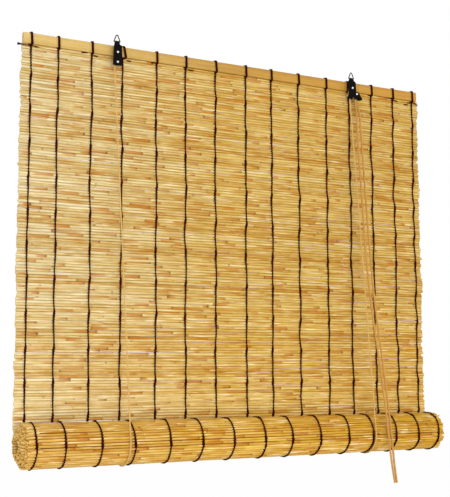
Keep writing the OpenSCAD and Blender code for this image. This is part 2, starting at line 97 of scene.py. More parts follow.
# Colours of stains and nodes, also used for the painted shade in the reeds' seams and cut-end hollows
STAIN_AND_PAINTED_SHADE = (0.48, 0.155, 0.001, 1)
KNOT_AND_PAINTED_SHADE = (0.07, 0.028, 0.008, 1)

# Roll
ROLL_TAPER = 0.055
ROLL_CREEP = 8 * MM
END_CREEP = 12 * MM
STUB_LEN = 22 * MM
# Turned angles up to which the reeds are drawn in full, and the twine at all
FINE_TURN = 2.3 * math.pi
TWINED_TURN = 1.88 * math.pi

# Twine and cords
STRAND_R = 2.4 * MM
STRAND_GROWTH = 0.045 * MM
STRAND_FLAT = 0.42
STRAND_REACH = 2.4 * MM + 0.7 * STRAND_FLAT * STRAND_R
STRAND_SWING = 0.5 * MM
STRAND_SIDES = 6
THICKEST_WARP = 11
STEPS_PER_REED = 5
LOOP_R = 1.2 * MM
CORD_R = 1.5 * MM
# Free lengths look thicker than the stretched cord in the hangers
FREE_CORD_R = 2.3 * MM
LANE_R = 5 * MM
LANE_Y = 1.6 * MM
# Distance of the cross cord from a hanger's middle where it passes the strap
CORD_PASS = 7.9 * MM
KNOT_R = 3.2 * MM
BIGHT_SINK = 1.5 * MM
LEFT_CORD_SHIFT = 3 * MM

# Routes in mm, from below the lock to the cut end
FRONT_STRAND_ROUTE = [
    (279, -2, -60), (279, -5, -85), (278, -7.5, -105), (275.5, -17, -200), (274.5, -27, -300),
    (273.5, -37, -400), (275.5, -47, -490), (280.5, -56, -570), (285.5, -64, -640), (290, -69, -700),
    (292.5, -71, -730), (294.5, -72, -755), (297.5, -72, -785), (301.8, -72, -820), (308.2, -72, -858),
]
BACK_STRAND_ROUTE = [
    (283, 1, -60), (286, -5, -85), (286.5, -7.5, -105), (285.5, -17, -200), (284.5, -27, -300),
    (284.5, -37, -400), (285.5, -47, -490), (289.5, -56, -570), (293.5, -64, -640), (297, -69, -700),
    (299.5, -71, -730), (301.5, -72, -755), (304.5, -72, -785), (307.8, -72, -820), (313.2, -72, -858),
]
# Place in the routes where a strand comes to lie on the roll
ROLL_CONTACT = 9


class Graph:
    """Node graph of one material round its main shader."""

    def __init__(self, name):
        self.material = bpy.data.materials.new(name)
        self.material.use_nodes = True
        self.tree = self.material.node_tree
        self.shader = self.tree.nodes["Principled BSDF"]

    def feed(self, socket, value):
        if isinstance(value, bpy.types.NodeSocket):
            self.tree.links.new(value, socket)
        else:
            socket.default_value = value

    def node(self, kind, inputs=None, **settings):
        made = self.tree.nodes.new("ShaderNode" + kind)
        for key, value in settings.items():
            setattr(made, key, value)
        for key, value in (inputs or {}).items():
            self.feed(made.inputs[key], value)
        return made

    def math(self, operation, a, b=0.0):
        return self.node("Math", {0: a, 1: b}, operation=operation, use_clamp=False).outputs[0]

    def mix(self, factor, a, b, blend="MIX"):
        made = self.node("Mix", {0: factor, 6: a, 7: b}, data_type="RGBA", blend_type=blend)
        return made.outputs[2]

    def ramp(self, factor, stops):
        made = self.node("ValToRGB", {0: factor})
        elements = made.color_ramp.elements
        while len(elements) < len(stops):
            elements.new(1.0)
        for element, (place, colour) in zip(elements, stops):
            element.position = place
            element.color = (*colour, 1.0)
        return made.outputs[0]

    def spread(self, value, low, high):
        """Maps 0 to 1 onto low to high."""
        return self.node("MapRange", {0: value, 3: low, 4: high}).outputs[0]

    def grain(self, scale, detail=3.0):
        """Noise stretched by a different scale along each axis of the piece."""
        place = self.node("TexCoord").outputs["Object"]
        stretched = self.node("Mapping", {"Vector": place, "Scale": scale}).outputs[0]
        return self.node("TexNoise", {"Vector": stretched, "Scale": 1.0, "Detail": detail}).outputs[0]

    def across(self):
        """Share of the way from the blind's left end to its right end."""
        place = self.node("TexCoord").outputs["Object"]
        x = self.node("SeparateXYZ", {0: place}).outputs[0]
        return self.node("MapRange", {0: x, 1: BATTEN_LOW.x, 2: BATTEN_HIGH.x}).outputs[0]

    def bump(self, height, strength, distance):
        made = self.node("Bump", {"Height": height, "Strength": strength, "Distance": distance})
        self.feed(self.shader.inputs["Normal"], made.outputs[0])

    def finish(self, colour, roughness, metallic=0.0, specular=0.5):
        self.feed(self.shader.inputs["Base Color"], colour)
        self.feed(self.shader.inputs["Roughness"], roughness)
        self.feed(self.shader.inputs["Metallic"], metallic)
        self.feed(self.shader.inputs["Specular IOR Level"], specular)
        return self.material


def reed_material(name, left, middle, right):
    """Dry reed: pale to golden by tone, tinted across the blind, with stains and nodes from its marks,
    painted shade in its seams and hollows, painted highlight streaks and painted light near the bottom of
    the mat.
    """
    g = Graph(name)
    marks = g.node("Attribute", attribute_name="mark")
    # The stain and knot channels carry the reed's stains and nodes, and also painted shade in its seams and
    # hollows
    stain, knot, tone = g.node("SeparateColor", {0: marks.outputs["Color"]}).outputs
    seed = marks.outputs["Alpha"]
    place = g.node("SeparateXYZ", {0: g.node("TexCoord").outputs["Object"]}).outputs
    along = g.node("CombineXYZ", {0: g.math("MULTIPLY", place[0], 26.0), 1: g.math("MULTIPLY", seed, 90.0)})
    mottle = g.node("TexNoise", {"Vector": along.outputs[0], "Scale": 1.0, "Detail": 4.0}).outputs[0]
    around = g.math("ADD", g.math("MULTIPLY", place[1], 300.0), g.math("MULTIPLY", seed, 140.0))
    streaky = g.node("CombineXYZ", {
        0: g.math("MULTIPLY", place[0], 22.0), 1: around, 2: g.math("MULTIPLY", place[2], 420.0),
    })
    streak = g.node("TexNoise", {"Vector": streaky.outputs[0], "Scale": 1.0, "Detail": 2.0}).outputs[0]
    # Mask of painted highlight streaks, where the streak noise is low
    pale = g.ramp(streak, [(0.30, (0.85, 0.85, 0.85)), (0.42, (0, 0, 0))])
    streak = g.ramp(streak, [(0.58, (0, 0, 0)), (0.70, (0.5, 0.5, 0.5))])
    fibre = g.grain((16, 1500, 1500))
    shade = g.math("ADD", tone, g.spread(mottle, -0.7, 0.7))
    base = g.ramp(shade, [
        (0.0, (0.88, 0.76, 0.50)), (0.3, (0.80, 0.63, 0.33)), (0.6, (0.72, 0.51, 0.20)),
        (1.0, (0.58, 0.33, 0.08)),
    ])
    tint = g.ramp(g.across(), [(0.05, left), (0.45, middle), (0.95, right)])
    base = g.mix(1.0, base, tint, "MULTIPLY")
    # Painted highlight streaks mixed over the tinted reed
    base = g.mix(pale, base, PAINTED_HIGHLIGHT)
    # Painted light: reeds are made up to 21 % brighter over the mat's lowest 0.3 m and below it
    low = g.node("MapRange", {0: place[2], 1: MAT_LOW.z + 0.3, 2: MAT_LOW.z, 3: 1.0, 4: 1.21}).outputs[0]
    base = g.mix(1.0, base, g.node("CombineColor", {0: low, 1: low, 2: low}).outputs[0], "MULTIPLY")
    base = g.mix(1.0, base, g.ramp(fibre, [(0.3, (0.84, 0.81, 0.76)), (0.7, (1.1, 1.1, 1.1))]), "MULTIPLY")
    # Stains, stain dashes and painted shade together
    stain_and_painted_shade = g.math("MAXIMUM", g.math("MULTIPLY", stain, g.spread(mottle, 0.75, 1.1)), streak)
    base = g.mix(stain_and_painted_shade, base, STAIN_AND_PAINTED_SHADE)
    base = g.mix(g.math("MULTIPLY", knot, 0.9), base, KNOT_AND_PAINTED_SHADE)
    g.bump(fibre, 0.35, 0.3 * MM)
    return g.finish(base, g.spread(fibre, 0.50, 0.70), specular=0.14)


def wood_material():
    """Planed softwood with grain along the batten."""
    g = Graph("planed_wood")
    rings = g.grain((1.6, 160, 110), 4.0)
    pores = g.grain((45, 2200, 2200), 2.0)
    base = g.ramp(rings, [
        (0.25, (0.54, 0.33, 0.10)), (0.45, (0.76, 0.55, 0.25)), (0.6, (0.66, 0.44, 0.16)),
        (0.8, (0.82, 0.61, 0.30)),
    ])
    warm = g.ramp(g.across(), [
        (0.0, (0.82, 0.80, 0.56)), (0.5, (0.61, 0.46, 0.12)), (1.0, (0.69, 0.48, 0.085)),
    ])
    base = g.mix(1.0, base, warm, "MULTIPLY")
    base = g.mix(1.0, base, g.ramp(pores, [(0.32, (0.82, 0.78, 0.72)), (0.5, (1, 1, 1))]), "MULTIPLY")
    g.bump(g.math("ADD", rings, pores), 0.25, 0.2 * MM)
    return g.finish(base, g.spread(rings, 0.42, 0.6), specular=0.4)


def twine_material():
    """Dark brown twisted twine with loose fibres."""
    g = Graph("dark_twine")
    fibre = g.grain((2600, 2600, 900))
    base = g.ramp(fibre, [
        (0.35, (0.016, 0.0012, 0.0002)), (0.6, (0.048, 0.0045, 0.0008)), (0.8, (0.12, 0.03, 0.007)),
    ])
    g.bump(fibre, 0.6, 0.3 * MM)
    return g.finish(base, 0.9, specular=0.04)


def cord_material(name, pale, dark):
    """Twisted tan cord with fine fibres."""
    g = Graph(name)
    fibre = g.grain((2400, 2400, 700))
    slow = g.grain((30, 30, 30), 2.0)
    base = g.mix(g.spread(slow, 0.0, 0.8), pale, dark)
    worn = g.ramp(fibre, [(0.3, (0.72, 0.68, 0.62)), (0.65, (1.08, 1.08, 1.08))])
    base = g.mix(1.0, base, worn, "MULTIPLY")
    g.bump(fibre, 0.5, 0.2 * MM)
    return g.finish(base, 0.7, specular=0.25)


def black_paint_material():
    """Black enamel on folded sheet, a little brown where it is thin."""
    g = Graph("black_enamel")
    peel = g.grain((900, 900, 900))
    thin = g.grain((160, 160, 160), 2.0)
    base = g.ramp(thin, [(0.35, (0.0012, 0.0008, 0.0008)), (0.7, (0.004, 0.002, 0.0018))])
    g.bump(peel, 0.25, 0.1 * MM)
    return g.finish(base, g.spread(thin, 0.42, 0.62), specular=0.05)


def metal_material(name, colour, roughness):
    """Bare metal with a fine brushed grain."""
    g = Graph(name)
    brushed = g.grain((1500, 1500, 1500), 2.0)
    base = g.mix(g.spread(brushed, 0.0, 0.35), colour, (0.45, 0.43, 0.40, 1))
    g.bump(brushed, 0.1, 0.05 * MM)
    return g.finish(base, g.spread(brushed, roughness * 0.7, roughness * 1.3), 1.0)


def plastic_material():
    """Dark moulded plastic of the pulleys."""
    g = Graph("moulded_plastic")
    grain = g.grain((1200, 1200, 1200), 2.0)
    base = g.ramp(grain, [(0.3, (0.06, 0.055, 0.05)), (0.7, (0.12, 0.11, 0.10))])
    g.bump(grain, 0.15, 0.1 * MM)
    return g.finish(base, 0.5)


REED = reed_material("reed", (0.80, 0.80, 0.72), (0.74, 0.63, 0.30), (0.74, 0.615, 0.275))
ROLLED_REED = reed_material("rolled_reed", (0.70, 0.56, 0.255), (0.725, 0.58, 0.195), (0.63, 0.465, 0.08))
WOOD = wood_material()
TWINE = twine_material()
LIFT_CORD = cord_material("lift_cord", (0.71, 0.47, 0.16, 1), (0.58, 0.33, 0.08, 1))
PULL_CORD = cord_material("pull_cord", (0.64, 0.36, 0.09, 1), (0.46, 0.22, 0.04, 1))
BLACK = black_paint_material()
RIVET = metal_material("rivet_steel", (0.80, 0.79, 0.74, 1), 0.32)
STAPLE = metal_material("staple_wire", (0.55, 0.54, 0.52, 1), 0.38)
PLASTIC = plastic_material()


class Shape:
    """Points, faces and marks of one piece while it is built."""

    def __init__(self):
        self.points = []
        self.faces = []
        self.smooth = []
        self.marks = []

    def ring(self, centre, side, up, radius, sides, marks=None, flat=1.0):
        first = len(self.points)
        for k in range(sides):
            a = 2 * math.pi * k / sides
            self.points.append(centre + radius * (math.cos(a) * side + flat * math.sin(a) * up))
            self.marks.append(marks[k] if marks else (0, 0, 0, 0))
        return first

    def join(self, a, b, sides, smooth=True):
        for k in range(sides):
            n = (k + 1) % sides
            self.faces.append((a + k, a + n, b + n, b + k))
            self.smooth.append(smooth)

    def close(self, first, sides, flip):
        corners = range(first, first + sides)
        self.faces.append(tuple(reversed(corners)) if flip else tuple(corners))
        self.smooth.append(False)

    def tube(self, path, radius, sides, flat=1.0, end_radius=None):
        """Round or flattened stock along a path, with flat ends."""
        last = None
        frames = carried_frames(path)
        for k, (centre, side, up) in enumerate(frames):
            share = k / (len(frames) - 1)
            r = radius if end_radius is None else radius + (end_radius - radius) * share
            made = self.ring(centre, side, up, r, sides, None, flat)
            if last is None:
                self.close(made, sides, True)
            else:
                self.join(last, made, sides)
            last = made
        self.close(last, sides, False)

    def rope(self, path, radius, strands=3, pitch=11 * MM, sides=6):
        """Cord of twisted strands with an outer radius."""
        strand_r = radius * 0.52
        offset = radius - strand_r
        frames = carried_frames(resampled(path, pitch / 8))
        step = (frames[1][0] - frames[0][0]).length
        for s in range(strands):
            twisted = []
            for k, (centre, side, up) in enumerate(frames):
                a = 2 * math.pi * (k * step / pitch + s / strands)
                twisted.append(centre + offset * (math.cos(a) * side + math.sin(a) * up))
            self.tube(twisted, strand_r, sides)

    def piece(self, name, material, body):
        mesh = bpy.data.meshes.new(name)
        mesh.from_pydata(self.points, [], self.faces)
        mesh.polygons.foreach_set("use_smooth", self.smooth)
        mark = mesh.attributes.new("mark", "FLOAT_COLOR", "POINT")
        mark.data.foreach_set("color", [value for m in self.marks for value in m])
        mesh.materials.append(material)
        made = bpy.data.objects.new(name, mesh)
        bpy.context.scene.collection.objects.link(made)
        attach(made, body)
        return made


def carried_frames(path):
    """Each point of a path with two directions across it, carried along without twist."""
    frames = []
    side = None
    for k, point in enumerate(path):
        ahead = (path[min(k + 1, len(path) - 1)] - path[max(k - 1, 0)]).normalized()
        if side is None:
            side = X_AXIS if abs(ahead.x) < 0.9 else Y_AXIS
        side = (side - side.dot(ahead) * ahead).normalized()
        frames.append((point, side, ahead.cross(side)))
    return frames


def resampled(path, step):
    """The same path with points an even step apart."""
    lengths = [0.0]
    for a, b in zip(path, path[1:]):
        lengths.append(lengths[-1] + (b - a).length)
    count = max(2, round(lengths[-1] / step))
    made = []
    k = 0
    for i in range(count + 1):
        target = lengths[-1] * i / count
        while k < len(path) - 2 and lengths[k + 1] < target:
            k += 1
        share = (target - lengths[k]) / max(lengths[k + 1] - lengths[k], 1e-9)
        made.append(path[k].lerp(path[k + 1], min(max(share, 0.0), 1.0)))
    return made


def smoothed(points, steps=4):
    """Smooth curve through given points."""
    made = []
    last = len(points) - 1
    for i in range(last):
        a, b = points[max(i - 1, 0)], points[i]
        c, d = points[i + 1], points[min(i + 2, last)]
        for k in range(steps):
            u = k / steps
            made.append(0.5 * (
                2 * b + (c - a) * u + (2 * a - 5 * b + 4 * c - d) * u * u
                + (3 * b - a - 3 * c + d) * u * u * u
            ))
    made.append(points[last])
    return made


def in_metres(points):
    return [Vector(p) * MM for p in points]


def drift(x, y, z, size):
    """Smooth wandering value for hand-made unevenness."""
    return size * noise.noise(Vector((x, y, z)))


# Reeds
def reed_node(rng):
    """Looks of one node: its stain's length and strength, its dark dot's strength, its breadth."""
    kind = rng.random()
    if kind < 0.28:
        return rng.uniform(0.012, 0.06), rng.uniform(0.8, 1.0), rng.uniform(0.45, 0.9), rng.uniform(0.5, 0.9)
    if kind < 0.58:
        return rng.uniform(0.010, 0.05), rng.uniform(0.7, 1.0), rng.uniform(0.0, 0.4), rng.uniform(0.6, 1.0)
    if kind < 0.68:
        return 0.004, 0.3, rng.uniform(0.3, 0.7), rng.uniform(0.1, 0.4)
    if kind < 0.84:
        return rng.uniform(0.012, 0.07), rng.uniform(0.2, 0.5), rng.uniform(0.0, 0.2), rng.uniform(0.6, 1.0)
    return 0.004, 0.1, 0.1, 0.8


def reed_stations(rng, start, end):
    """Places along a reed as (x, swell, stain, knot, facing, breadth), in order."""
    stations = [(start, 1.0, 0.0, 0.0, 4, 0.0), (end, 1.0, 0.0, 0.0, 4, 0.0)]
    x = start + rng.uniform(0.01, 0.15)
    while x < end - 0.01:
        length, stain, knot, breadth = reed_node(rng)
        facing = rng.choice((3, 4, 4, 5))
        way = 1 if rng.random() < 0.8 else -1
        length = min(length, x - start if way > 0 else end - x)
        for back, swell, stain_share, knot_share in (
            (length, 1.0, 0.0, 0.0), (0.75 * length, 1.0, 0.75, 0.0), (3 * MM, 1.0, 1.0, 0.15),
            (1.2 * MM, 1.07, 1.0, 1.0), (-0.6 * MM, 1.06, 0.5, 1.0), (-1.8 * MM, 1.0, 0.0, 0.0),
        ):
            stations.append((x - way * back, swell, stain * stain_share, knot * knot_share, facing, breadth))
        x += rng.uniform(0.08, 0.17)
    taken = [station[0] for station in stations]
    for k in range(1, PLAIN_STATIONS):
        x = start + (end - start) * k / PLAIN_STATIONS
        if all(abs(x - other) > STATION_GAP for other in taken):
            stations.append((x, 1.0, 0.0, 0.0, 4, 0.0))
    return sorted(stations)


def reed_marks(stain, knot, facing, breadth, tone, seam_shade, seed):
    """Marks round a reed: its stains run along the front and the back, and its seams, where it meets the
    next reeds, get painted shade.
    """
    marks = []
    for k in range(REED_SIDES):
        off = min((k - facing) % 4, (facing - k) % 4)
        share = (1.0, breadth, 0.3 * breadth)[off]
        # Painted shade along the reed's top and bottom, for the crevices between neighbouring reeds
        shade = seam_shade if k % 4 == 2 else 0.0
        marks.append((max(stain * share, shade), max(knot * share, 0.4 * shade), tone, seed))
    return marks


def add_reed(shape, rng, start, end, radius, line, tone, seam_shade, fine=True):
    """One reed along X. line(x) gives its middle in Y and Z, and a pair of strengths gives the painted shade
    of its seams at both ends.
    """
    seed = rng.random()
    stations = reed_stations(rng, start, end)
    if not fine:
        stations = [stations[0], stations[-1]]
    taper = rng.uniform(-0.06, 0.06)
    last = None
    for x, swell, stain, knot, facing, breadth in stations:
        share = (x - start) / (end - start) - 0.5
        centre = Vector((x, *line(x)))
        shade = min(max(tone + drift(x * 7, seed * 80, 1.5, 0.3), 0.0), 1.0)
        # Strength of the painted seam shade here, made uneven along the reed
        depth = seam_shade[0] + (seam_shade[1] - seam_shade[0]) * (share + 0.5)
        seam_shade_here = min(max(depth * (1 + drift(x * 14, seed * 60, 6.5, 3.0)), 0.0), 0.9)
        marks = reed_marks(stain, knot, facing, breadth, shade, seam_shade_here, seed)
        made = shape.ring(centre, Y_AXIS, Z_AXIS, radius * swell * (1 + taper * share), REED_SIDES, marks)
        if last is not None:
            shape.join(last, made, REED_SIDES)
        last = made
    for x, inward in ((start, 1), (end, -1)):
        end_radius = radius * (1 + taper * -0.5 * inward)
        add_reed_end(shape, rng, Vector((x, *line(x))), inward, end_radius, tone, seed)


def add_reed_end(shape, rng, centre, inward, radius, tone, seed):
    """Cut end of a reed: a pale rim of wall round a hollow whose floor is darkened with painted shade."""
    hollow = radius * rng.uniform(0.3, 0.55)
    depth = inward * rng.uniform(0.8, 2.2) * MM
    cut = [(0.0, 0.0, tone * 0.3, seed)] * REED_SIDES
    # Painted shade on the floor of the hollow
    dark = [(rng.uniform(0.1, 0.45), rng.uniform(0.0, 0.16), tone, seed)] * REED_SIDES
    rim = shape.ring(centre, Y_AXIS, Z_AXIS, radius, REED_SIDES, cut)
    mouth = shape.ring(centre, Y_AXIS, Z_AXIS, hollow, REED_SIDES, cut)
    floor = shape.ring(centre + depth * X_AXIS, Y_AXIS, Z_AXIS, hollow, REED_SIDES, dark)
    if inward > 0:
        shape.join(mouth, rim, REED_SIDES, False)
        shape.join(floor, mouth, REED_SIDES, False)
    else:
        shape.join(rim, mouth, REED_SIDES, False)
        shape.join(mouth, floor, REED_SIDES, False)
    shape.close(floor, REED_SIDES, inward > 0)


def reed_end_x(rng, spread):
    """Ragged end of a reed, a little past the batten's end."""
    return BATTEN_HIGH.x + REED_OVERHANG + rng.gauss(0, spread)


def mat_calm(row):
    """Lets no unevenness reach the batten or the roll."""
    return min(1.0, row / CALM_ROWS, (ROWS - 1 - row) / CALM_ROWS)


def row_centre(x, row):
    """Middle of a row of reeds in Y and Z."""
    z = MAT_HIGH.z - (row + 0.5) * ROW_H
    calm = mat_calm(row)
    y = MAT_Y + calm * drift(x * 3.5, z * 5, 9.0, 0.7 * MM)
    return y, z + calm * drift(x * 2.6, row * 0.16, 5.0, 1.2 * MM)


def hanging_reeds():
    """Reeds of the hanging mat, a few of them in pairs of thin ones."""
    rng = random.Random(11)
    shape = Shape()
    for row in range(ROWS):
        left = -reed_end_x(rng, 0.8 * MM) + drift(row * 0.12, 1.0, 0.0, 4 * MM)
        right = reed_end_x(rng, 1.2 * MM) + drift(row * 0.12, 5.0, 0.0, 4 * MM)
        tone = min(max(rng.gauss(0.36, 0.2), 0.0), 1.0)
        split = rng.random() < SPLIT_SHARE
        for part in ((-1, 1) if split else (0,)):
            radius = rng.uniform(1.42, 1.52) if split else rng.uniform(2.62, 2.78)
            radius *= MM
            shift = part * 1.3 * MM + rng.uniform(-0.12, 0.12) * MM
            depth = rng.uniform(-0.25, 0.25) * MM
            own = rng.uniform(0, 90)

            def line(x):
                y, z = row_centre(x, row)
                return y + depth, z + shift + mat_calm(row) * drift(x * 8, own, 3.0, 0.75 * MM)

            add_reed(shape, rng, left, right, radius, line, tone, MAT_SEAM_SHADE)
    made = shape.piece("hanging_reeds", REED, "headrail")
    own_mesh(made)
    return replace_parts(made, "reed_mat")


# Spiral of the roll
GROWTH = TURN_PITCH / (2 * math.pi)
CORE_R = SEAM_GAP + math.hypot(
    (BATTEN_HIGH.y - BATTEN_LOW.y) / 2 - BATTEN_BEVEL, (BATTEN_HIGH.z - BATTEN_LOW.z) / 2
)
ROLLED_TURN = 2 * math.pi * (ROLL_R - CORE_R - MAT_HALF) / TURN_PITCH
ROLLED_LEN = ROLL_R * ROLLED_TURN - GROWTH * ROLLED_TURN ** 2 / 2
ROLLED_REEDS = round(ROLLED_LEN / REED_PITCH)


def roll_angle(k):
    """Turned angle of the spiral at the middle of reed k."""
    s = ROLLED_LEN * (k + 0.5) / ROLLED_REEDS
    return (ROLL_R - math.sqrt(ROLL_R ** 2 - 2 * GROWTH * s)) / GROWTH


def roll_slack(x):
    """Share of its full size that the roll has at x: it is wound tighter to the right."""
    return 1 - ROLL_TAPER * (x - BATTEN_LOW.x) / (BATTEN_HIGH.x - BATTEN_LOW.x)


def roll_inset(x):
    """Sideways creep of the rolled mat, which grows to the right."""
    return -ROLL_CREEP * min(max(x / BATTEN_HIGH.x, 0.0), 1.0)


def roll_middle(x):
    """Middle of the roll in Y, so that its back stays on the mat."""
    return MAT_Y - ROLL_R * roll_slack(x)


def roll_point(angle, x, out=0.0):
    """Place on the spiral in Y and Z, moved outwards."""
    r = (ROLL_R - GROWTH * angle + out) * roll_slack(x)
    return roll_middle(x) + r * math.cos(angle), ROLL_AXIS.z - r * math.sin(angle)


def roll_ends(rng, angle):
    """Ends of a rolled reed: the inner turns have crept out to both sides."""
    creep = END_CREEP * (min(angle / ROLLED_TURN * 1.6, 1.0) - 0.55)
    left = -reed_end_x(rng, 1.5 * MM) - creep
    return left, reed_end_x(rng, 1.6 * MM) + 0.4 * creep + roll_inset(BATTEN_HIGH.x)


def add_stubs(shape, rng):
    """Broken and split reed ends that fill the gaps between the turns at both ends of the roll."""
    for k in range(2 * ROLLED_REEDS):
        angle = roll_angle(k / 2)
        out = rng.uniform(-0.7, 0.2) * TURN_PITCH
        splay = Vector((rng.gauss(0, 1.2), rng.gauss(0, 1.2))) * MM
        radius = rng.uniform(0.9, 1.7) * MM
        tone = rng.uniform(0.0, 0.25)
        ends = roll_ends(rng, angle)
        left_end = ends[0] + rng.uniform(-1, 3) * MM
        right_end = ends[1] - rng.uniform(-1, 3) * MM
        for end, inner in ((left_end, STUB_LEN), (right_end, -STUB_LEN)):

            def line(x):
                y, z = roll_point(angle, x, out)
                share = 1 - abs(x - end) / abs(inner)
                return y + share * splay.x, z + share * splay.y

            left, right = sorted((end, end + inner))
            add_reed(shape, rng, left, right, radius, line, tone, STUB_SEAM_SHADE, False)


def rolled_reeds():
    """Reeds of the roll, drawn in full where they show."""
    rng = random.Random(23)
    shape = Shape()
    for k in range(ROLLED_REEDS):
        angle = roll_angle(k)
        left, right = roll_ends(rng, angle)
        tone = min(max(rng.gauss(0.46, 0.13), 0.0), 1.0)
        sunk = rng.uniform(-0.6, 0.0) * MM
        sway = rng.uniform(-0.5, 0.5) * MM
        phase = rng.uniform(0, 6)

        def line(x):
            return roll_point(angle + sway * math.sin(7 * x + phase) / ROLL_R, x, sunk)

        radius = rng.uniform(2.15, 2.6) * MM
        add_reed(shape, rng, left, right, radius, line, tone, ROLL_SEAM_SHADE, angle < FINE_TURN)
    add_stubs(shape, rng)
    made = shape.piece("rolled_reeds", ROLLED_REED, "roll")
    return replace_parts(made, "reed_roll")


# Warp cords
WARP_MIDDLES = [sum(c.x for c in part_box(f"warp_cord_{i:02d}")) / 2 for i in range(1, 16)]
# Beside a hanger a warp jogs in towards it below the batten
WARP_JOGS = [{3: -2 * MM, 11: 4 * MM}.get(i, 0.0) for i in range(15)]
HANG_X = [middle + jog / 2 for middle, jog in zip(WARP_MIDDLES, WARP_JOGS)]
LOOP_X = [middle - jog / 2 for middle, jog in zip(WARP_MIDDLES, WARP_JOGS)]
# Warp whose loop leans away from the left hanger, and by how many mm
LEANING_WARP, HANGER_LEAN = 3, 3.2
# Warp, start and end beside it in mm, and row of reeds
LOOSE_ENDS = [
    (2, -9, -21, 0.3), (2, 3, 11, 1), (3, 9, 17, 1), (4, -1, -11, 0.3), (5, 3, 17, 1),
    (12, -1, -8, 0.3), (13, 0, -13, 0.3), (13, 0, 14, 1), (14, -4, -12, 1), (14, -10, -20, 2),
]


def strand_radius(i):
    """Twine is a little thicker in the warps to the right."""
    return STRAND_R + STRAND_GROWTH * min(i, THICKEST_WARP)


def twine_strand(stops, which):
    """One strand of a twined warp. stops holds each reed's middle and its outward direction."""
    middles = [stop[0] for stop in stops]
    gaps = [middles[0] * 1.5 - middles[1] * 0.5]
    gaps += [(a + b) / 2 for a, b in zip(middles, middles[1:])]
    gaps.append(middles[-1] * 1.5 - middles[-2] * 0.5)
    path = []
    for k, (_, out) in enumerate(stops):
        sign = 1 if (k + which) % 2 == 0 else -1
        for step in range(STEPS_PER_REED):
            u = step / STEPS_PER_REED
            turn = math.pi * (u - 0.5)
            base = gaps[k].lerp(gaps[k + 1], u)
            lift = sign * STRAND_REACH * max(math.cos(turn), 0.0) ** 0.6
            path.append(base + lift * out + sign * STRAND_SWING * math.sin(turn) * X_AXIS)
    return path


def warp_shift(i, z, calm):
    """Sideways wandering of a warp down the mat."""
    size = calm * (1.7 + 0.12 * i) * MM
    return drift(i * 7.3, z * 9, 2.0, size) + drift(i * 3.7, z * 26, 4.0, size)


def warp_twine(i):
    """Both strands of one warp down the hanging mat."""
    out = Vector((0, -1, 0))
    stops = []
    for row in range(ROWS):
        z = MAT_HIGH.z - (row + 0.5) * ROW_H
        x = HANG_X[i] + warp_shift(i, z, mat_calm(row))
        stops.append((Vector((x, *row_centre(x, row))), out))
    shape = Shape()
    for which in (0, 1):
        shape.tube(twine_strand(stops, which), strand_radius(i), STRAND_SIDES, STRAND_FLAT)
    made = shape.piece(f"warp_twine_{i + 1:02d}", TWINE, "headrail")
    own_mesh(made)
    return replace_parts(made, f"warp_cord_{i + 1:02d}")


def warp_loops():
    """Doubled loops of the warps over the batten, with knots and loose ends under them."""
    rng = random.Random(5)
    shape = Shape()
    front, back = BATTEN_LOW.y - LOOP_R, BATTEN_HIGH.y + LOOP_R
    top, foot = BATTEN_HIGH.z, BATTEN_LOW.z
    crown = top + LOOP_R
    for i, (hang, x) in enumerate(zip(HANG_X, LOOP_X)):
        lean = (HANGER_LEAN if i == LEANING_WARP else rng.uniform(0.2, 1.6)) * MM
        for beside in (-0.95, 0.95):
            near = x + beside * LOOP_R
            shape.tube(smoothed([
                Vector((hang, MAT_Y - MAT_HALF - LOOP_R, foot - 4 * MM)),
                Vector((near + lean, front, foot - 0.5 * MM)),
                Vector((near + lean * 0.6, front, foot + 8 * MM)),
                Vector((near, front, top - 1.5 * MM)),
                Vector((near - lean * 0.3, front + 1.4 * MM, crown)),
                Vector((near - lean * 0.3, back - 1.4 * MM, crown)),
                Vector((near, back, top - 1.5 * MM)),
                Vector((near, back, foot)),
                Vector((hang, MAT_Y + MAT_HALF + LOOP_R, foot - 4 * MM)),
            ]), LOOP_R, 6)
        add_knot(shape, rng, (x + hang) / 2)
    for loose_end in LOOSE_ENDS:
        add_loose_end(shape, *loose_end)
    return shape.piece("warp_loops", TWINE, "headrail")


def add_knot(shape, rng, x):
    """Hitch round a warp under the batten, with the cut end of its twine."""
    centre = Vector((x, MAT_Y - MAT_HALF - LOOP_R, BATTEN_LOW.z - 2 * MM))
    tilt = rng.uniform(-0.5, 0.5)
    hitch = []
    for k in range(13):
        a = 2 * math.pi * k / 12
        across = 2.5 * MM * math.cos(a)
        hitch.append(centre + Vector((across, 1.5 * MM * math.sin(a) - 0.6 * MM, tilt * across)))
    shape.tube(hitch, LOOP_R * 0.8, 6)
    side = rng.choice((-1, 1))
    reach = rng.uniform(3, 6) * MM
    drop = rng.uniform(-1.5, 1) * MM
    shape.tube(smoothed([
        centre + Vector((0, -0.6 * MM, 0)),
        centre + Vector((side * 0.5 * reach, -0.5 * MM, 0.3 * drop)),
        centre + Vector((side * reach, 0.2 * MM, drop)),
    ]), LOOP_R * 0.65, 6)


def add_loose_end(shape, i, start, end, row):
    """Loose end of twine that comes out between two reeds beside a warp."""
    z = MAT_HIGH.z - row * ROW_H
    shape.tube(smoothed([
        Vector((HANG_X[i] + start * MM, MAT_Y - 1.5 * MM, z)),
        Vector((HANG_X[i] + (0.7 * start + 0.3 * end) * MM, MAT_Y - 2.8 * MM, z + 0.2 * MM)),
        Vector((HANG_X[i] + end * MM, MAT_Y - 3.1 * MM, z - 0.6 * MM)),
    ]), LOOP_R, 6)


